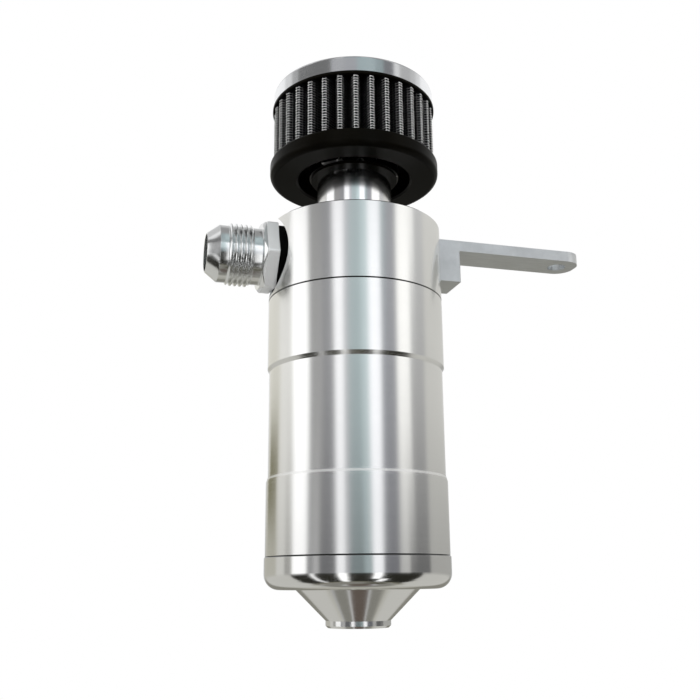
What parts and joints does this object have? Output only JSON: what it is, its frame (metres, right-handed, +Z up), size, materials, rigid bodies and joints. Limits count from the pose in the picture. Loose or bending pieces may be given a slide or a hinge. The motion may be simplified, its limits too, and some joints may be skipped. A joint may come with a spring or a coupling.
{
  "type": "oil catch can",
  "caption": "Turned aluminium oil catch can with a screwed lid, body tube and drain cap, a clamp-on breather filter, a flared hose inlet and a side bracket.",
  "frame": {"origin": "centre of the drain port's mouth, at the lowest face of the bottom cap", "axes": "+Z up along the can's axis, +X along the bracket arm, the inlet fitting points to -X"},
  "size_m": [0.1762, 0.0768, 0.2375],
  "materials": {
    "lid_aluminium": "fine turned, satin to bright",
    "tube_aluminium": "fine turned, satin to bright",
    "cap_aluminium": "fine turned, satin to bright",
    "neck_aluminium": "polished",
    "fitting_aluminium": "turned and milled",
    "bracket_aluminium": "milled, satin",
    "black_rubber": "moulded, matt",
    "seal_rubber": "smooth",
    "filter_medium": "pleated gauze under grey wire mesh",
    "filter_chrome": "bright plated",
    "zinc_steel": "zinc plated",
    "black_steel": "black oxide",
    "plate_steel": "plain sheet",
    "wire_pad": "knitted fine wire"
  },
  "bodies": {
    "lid_unit": {"lid": "lid_aluminium", "neck_tube": "neck_aluminium", "inlet_fitting": "fitting_aluminium", "fitting_o_ring": "seal_rubber", "bracket": "bracket_aluminium", "bracket_screw": "black_steel", "bracket_washer": "zinc_steel", "filter_base": "black_rubber", "pleated_element": "filter_medium", "filter_cap": "filter_chrome", "cap_potting": "black_rubber", "clamp_band": "zinc_steel", "clamp_housing": "zinc_steel", "clamp_screw": "zinc_steel"},
    "tube_seal": {"tube_o_ring": "seal_rubber"},
    "tube_unit": {"body_tube": "tube_aluminium", "lower_screen": "plate_steel", "mesh_pad": "wire_pad", "upper_screen": "plate_steel", "snap_ring": "plate_steel"},
    "cap_seal": {"cap_o_ring": "seal_rubber"},
    "cap_unit": {"bottom_cap": "cap_aluminium"}
  },
  "joints": [
    {"name": "tube_travel", "type": "slide", "parent": "lid_unit", "child": "tube_seal", "axis": [0, 0, -1], "range_m": [0, 0.0083]},
    {"name": "tube_turn", "type": "hinge", "parent": "tube_seal", "child": "tube_unit", "pos_m": [0, 0, 0.1364], "axis": [0, 0, -1], "range_deg": [0, 1980]},
    {"name": "cap_travel", "type": "slide", "parent": "tube_unit", "child": "cap_seal", "axis": [0, 0, -1], "range_m": [0, 0.0083]},
    {"name": "cap_turn", "type": "hinge", "parent": "cap_seal", "child": "cap_unit", "pos_m": [0, 0, 0.0277], "axis": [0, 0, -1], "range_deg": [0, 1980]}
  ],
  "couplings": [
    {"joint": "tube_travel", "follows": "tube_turn", "m_per_rad": 0.00023873},
    {"joint": "cap_travel", "follows": "cap_turn", "m_per_rad": 0.00023873}
  ]
}
